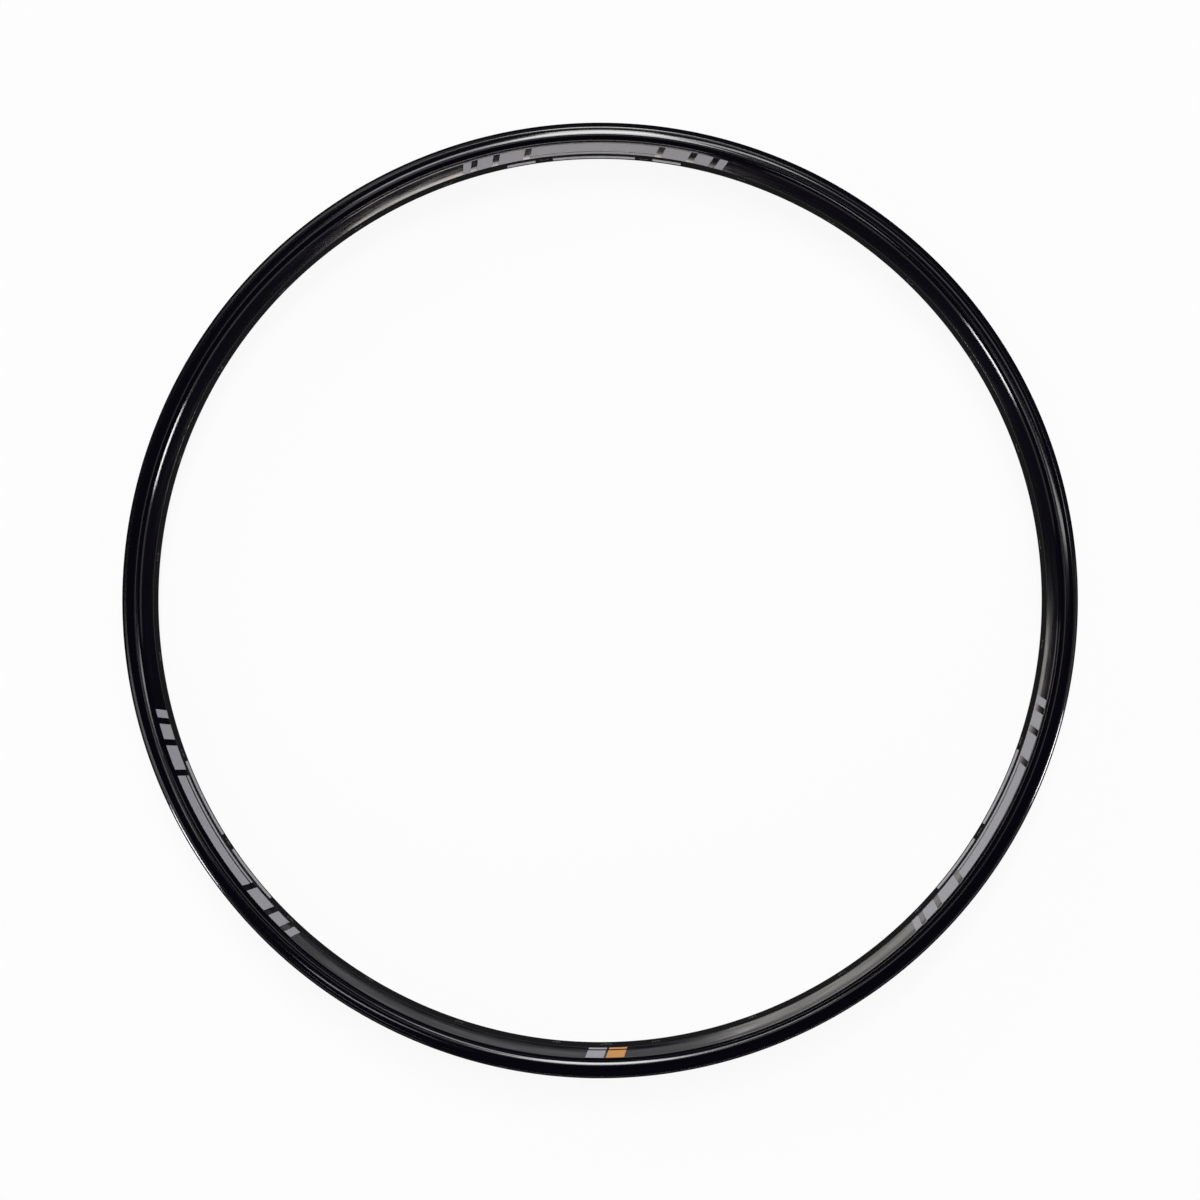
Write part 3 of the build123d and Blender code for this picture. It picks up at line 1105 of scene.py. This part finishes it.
@dataclass
class Studio:
    """The white table, the soft lamps and the camera that looks straight down on the rim."""

    camera_height: float = 1.85
    view_distance: float = 50.0
    picture_pixels: float = 1200.0
    sensor_mm: float = 36.0
    outer_edge_pixels: float = 477.7
    picture_centre: Point = (600.1, 600.5)
    roll_degrees: float = -0.8
    floor_half: float = 9.0
    floor_white: str = "#F4F4F4"
    floor_glow_share: float = 0.92
    world_grey: str = "#2F2C3A"
    lamps: tuple[Lamp, ...] = (
        Lamp("key_softbox", 1.0, 30.2, 9.0, 31.6, 13.5, distance=12.0),
        Lamp("key_wing", 4.5, 32.8, 36.0, 8.0, 6.5, roll=34.7),
        Lamp("back_right_panel", 41.0, 40.0, 38.0, 9.0, 1.3),
        Lamp("back_left_strip", 336.0, 20.5, 4.0, 13.0, 1.5, roll=-19.8),
        Lamp("overhead_strip", 354.0, 3.3, 4.0, 18.0, 1.3, roll=46.0),
        Lamp("right_strip", 80.5, 27.4, 3.0, 24.0, 6.2, roll=-6.4),
        Lamp("cross_strip", 246.0, 15.0, 2.5, 16.0, 3.0, roll=12.0),
        Lamp("left_strip", 212.9, 34.6, 3.0, 17.0, 6.4, roll=-27.7),
        Lamp("right_low_lamp", 110.2, 86.1, 11.5, 1.4, 42.0, shape=LampShape.ELLIPSE),
        Lamp("right_low_wing", 116.0, 86.1, 60.0, 2.4, 0.9),
        Lamp("left_low_lamp", 239.4, 86.1, 11.5, 1.4, 40.0, shape=LampShape.ELLIPSE),
        Lamp("left_low_wing", 232.0, 86.1, 60.0, 2.4, 0.7),
        Lamp("front_low_softbox", 171.0, 77.5, 46.0, 8.5, 13.5, "#FFF8F2"),
        Lamp("left_low_softbox", 287.0, 76.5, 26.0, 8.0, 6.5, "#FFF8F2"),
        Lamp("back_left_low_softbox", 322.0, 71.0, 44.0, 13.0, 4.7, "#FFFBF6"),
        Lamp("back_low_softbox", 14.0, 66.0, 60.0, 10.0, 1.65),
    )

    def camera(self, section: RimSection) -> None:
        """Set the camera over the wheel's centre, with the outer edge as large as in the photograph."""
        distance = self.camera_height - section.bead_wall_half * METRES_PER_MM
        focal_pixels = self.outer_edge_pixels * distance / (section.lip_radius * METRES_PER_MM)
        data = bpy.data.cameras.new("camera")
        data.sensor_width = self.sensor_mm
        data.lens = focal_pixels * self.sensor_mm / self.picture_pixels
        data.clip_end = self.view_distance
        middle = self.picture_pixels / 2
        data.shift_x = (middle - self.picture_centre[0]) / self.picture_pixels
        data.shift_y = (self.picture_centre[1] - middle) / self.picture_pixels
        camera = bpy.data.objects.new("camera", data)
        camera.location = (0.0, 0.0, self.camera_height)
        camera.rotation_euler = (0.0, 0.0, math.radians(self.roll_degrees))
        bpy.context.scene.collection.objects.link(camera)
        bpy.context.scene.camera = camera

    def floor(self, height: float) -> None:
        """Lay a pale matt table at a height in metres, which keeps the rim's shadow."""
        half = self.floor_half / METRES_PER_MM
        level = height / METRES_PER_MM
        corners = [(-half, -half, level), (half, -half, level), (half, half, level), (-half, half, level)]
        floor = linked("table", mesh_from("table", corners, [[0, 1, 2, 3]]))
        material, tree = new_material("matt_white_laminate_table")
        matt = add_node(tree, "BsdfDiffuse", {"Color": linear(self.floor_white)})
        glow = add_node(tree, "Emission", {"Color": (1.0, 1.0, 1.0, 1.0), "Strength": 1.0})
        path = add_node(tree, "LightPath")
        seen = add_node(tree, "Math", {"operation": "MAXIMUM"},
                        {0: path.outputs["Is Camera Ray"], 1: path.outputs["Is Glossy Ray"]})
        seen = add_node(tree, "Math", {"operation": "MAXIMUM"},
                        {0: seen.outputs[0], 1: path.outputs["Is Transmission Ray"]})
        share = add_node(tree, "Math", {"operation": "MULTIPLY", 1: self.floor_glow_share},
                         {0: seen.outputs[0]})
        both = add_node(tree, "MixShader",
                        links={0: share.outputs[0], 1: matt.outputs["BSDF"], 2: glow.outputs["Emission"]})
        add_node(tree, "OutputMaterial", links={"Surface": both.outputs["Shader"]})
        floor.data.materials.append(material)
        floor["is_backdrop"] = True

    def world(self) -> None:
        """Fill the room with an even, dim grey."""
        world = bpy.data.worlds.new("room")
        world.use_nodes = True
        world.node_tree.nodes.clear()
        grey = add_node(world.node_tree, "Background",
                        {"Color": linear(self.world_grey), "Strength": 1.0})
        add_node(world.node_tree, "OutputWorld", links={"Surface": grey.outputs["Background"]})
        bpy.context.scene.world = world

    def set_up(self, section: RimSection) -> None:
        """Place the camera, the table, the room and the lamps."""
        self.camera(section)
        self.floor(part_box("rim")[0][2])
        self.world()
        for lamp in self.lamps:
            lamp.place()
        bpy.context.scene.view_settings.view_transform = "Standard"


def write_sizes() -> None:
    """Gather the frame's box and the dressed model's box side by side, without writing them anywhere."""
    boxes = {"cad": CAD_BOX, "visual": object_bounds()}
    boxes = {name: [list(corner) for corner in box] for name, box in boxes.items()}


def log_piece(piece: bpy.types.Object) -> None:
    """Report a finished piece."""
    LOG.info("%s: %d faces", piece.name, len(piece.data.polygons))


def main() -> None:
    """Build and dress each piece, then set up the studio."""
    logging.basicConfig(level=logging.INFO, format="%(name)s: %(message)s")
    rim = Rim()
    hoop = rim.build()
    rim.dress(hoop)
    log_piece(hoop)
    graphics = FilmGraphics(rim.section)
    holes = rim.mounts(rim.spoke_mounts)
    grey = FilmFinish("cast_vinyl_film_grey", "#9B9B9F", "#909095").material()
    orange = FilmFinish("cast_vinyl_film_orange", "#C88F50", "#BE8548").material()
    for node, degrees in graphics.decal_angles:
        film = graphics.decal(node, degrees, holes)
        graphics.dress(film, node, grey, "grey_film")
        log_piece(film)
    badges = (("badge_grey", -1, grey, "grey_film"), ("badge_orange", 1, orange, "orange_film"))
    for node, side, material, slot in badges:
        film = graphics.badge(node, side)
        graphics.dress(film, node, material, slot)
        log_piece(film)
    Studio().set_up(rim.section)
    write_sizes()


if __name__ == "__main__":
    main()
